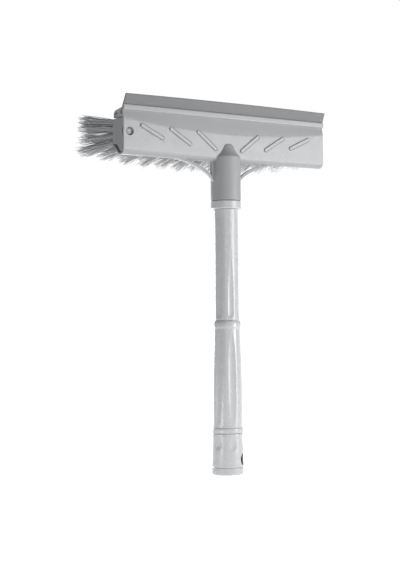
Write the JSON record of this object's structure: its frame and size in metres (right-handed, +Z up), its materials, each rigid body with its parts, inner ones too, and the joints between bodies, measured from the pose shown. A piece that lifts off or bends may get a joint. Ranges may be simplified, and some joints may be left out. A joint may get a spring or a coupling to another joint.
{
  "type": "window cleaning squeegee",
  "caption": "Window cleaning squeegee with a rubber blade on top of the head, a scrubbing brush on its back and a screw-on hand grip with a hanging hole.",
  "frame": {"origin": "centre of the flat end face of the handle", "axes": "+Z up the handle towards the head, +X along the blade with the brush lock peg at the -X end, -Y is the flat front panel's side and +Y the way the bristles point"},
  "size_m": [0.2716, 0.0796, 0.3798],
  "materials": {
    "shell_plastic": "silver-grey moulded plastic, the front panel and lip polished and the rest matt",
    "handle_plastic": "satin silver-grey moulded plastic, slightly glossier than the head",
    "brush_plastic": "matte mid-grey moulded plastic",
    "blade_rubber": "smooth matte grey rubber",
    "bristle_nylon": "semi-matte grey nylon filament"
  },
  "bodies": {
    "handle": {"handle_upper_tube": "handle_plastic", "grip_tube": "handle_plastic", "hanging_end_cap": "handle_plastic", "threaded_ferrule": "handle_plastic"},
    "head": {"head_shell": "shell_plastic"},
    "blade": {"rubber_blade": "blade_rubber"},
    "brush": {"brush_block": "brush_plastic", "tuft_row1_1": "bristle_nylon", "tuft_row1_2": "bristle_nylon", "tuft_row1_3": "bristle_nylon", "tuft_row1_4": "bristle_nylon", "tuft_row1_5": "bristle_nylon", "tuft_row1_6": "bristle_nylon", "tuft_row1_7": "bristle_nylon", "tuft_row1_8": "bristle_nylon", "tuft_row1_9": "bristle_nylon", "tuft_row1_10": "bristle_nylon", "tuft_row1_11": "bristle_nylon", "tuft_row1_12": "bristle_nylon", "tuft_row1_13": "bristle_nylon", "tuft_row2_1": "bristle_nylon", "tuft_row2_2": "bristle_nylon", "tuft_row2_3": "bristle_nylon", "tuft_row2_4": "bristle_nylon", "tuft_row2_5": "bristle_nylon", "tuft_row2_6": "bristle_nylon", "tuft_row2_7": "bristle_nylon", "tuft_row2_8": "bristle_nylon", "tuft_row2_9": "bristle_nylon", "tuft_row2_10": "bristle_nylon", "tuft_row2_11": "bristle_nylon", "tuft_row2_12": "bristle_nylon", "tuft_row2_13": "bristle_nylon", "tuft_row3_1": "bristle_nylon", "tuft_row3_2": "bristle_nylon", "tuft_row3_3": "bristle_nylon", "tuft_row3_4": "bristle_nylon", "tuft_row3_5": "bristle_nylon", "tuft_row3_6": "bristle_nylon", "tuft_row3_7": "bristle_nylon", "tuft_row3_8": "bristle_nylon", "tuft_row3_9": "bristle_nylon", "tuft_row3_10": "bristle_nylon", "tuft_row3_11": "bristle_nylon", "tuft_row3_12": "bristle_nylon", "tuft_row3_13": "bristle_nylon", "tuft_row4_1": "bristle_nylon", "tuft_row4_2": "bristle_nylon", "tuft_row4_3": "bristle_nylon", "tuft_row4_4": "bristle_nylon", "tuft_row4_5": "bristle_nylon", "tuft_row4_6": "bristle_nylon", "tuft_row4_7": "bristle_nylon", "tuft_row4_8": "bristle_nylon", "tuft_row4_9": "bristle_nylon", "tuft_row4_10": "bristle_nylon", "tuft_row4_11": "bristle_nylon", "tuft_row4_12": "bristle_nylon", "tuft_row4_13": "bristle_nylon"},
    "lock_peg": {"brush_lock_peg": "brush_plastic"}
  },
  "joints": [
    {"name": "head_turn", "type": "hinge", "parent": "handle", "child": "head", "pos_m": [0, 0, 0.28], "axis": [0, 0, 1], "range_deg": [0, 1260]},
    {"name": "blade_slide", "type": "slide", "parent": "head", "child": "blade", "axis": [-1, 0, 0], "range_m": [0, 0.24]},
    {"name": "brush_slide", "type": "slide", "parent": "head", "child": "brush", "axis": [-1, 0, 0], "range_m": [0, 0.235]},
    {"name": "lock_peg_press", "type": "slide", "parent": "brush", "child": "lock_peg", "axis": [0, 1, 0], "range_m": [0, 0.0012], "stiffness_N_per_m": 500}
  ]
}
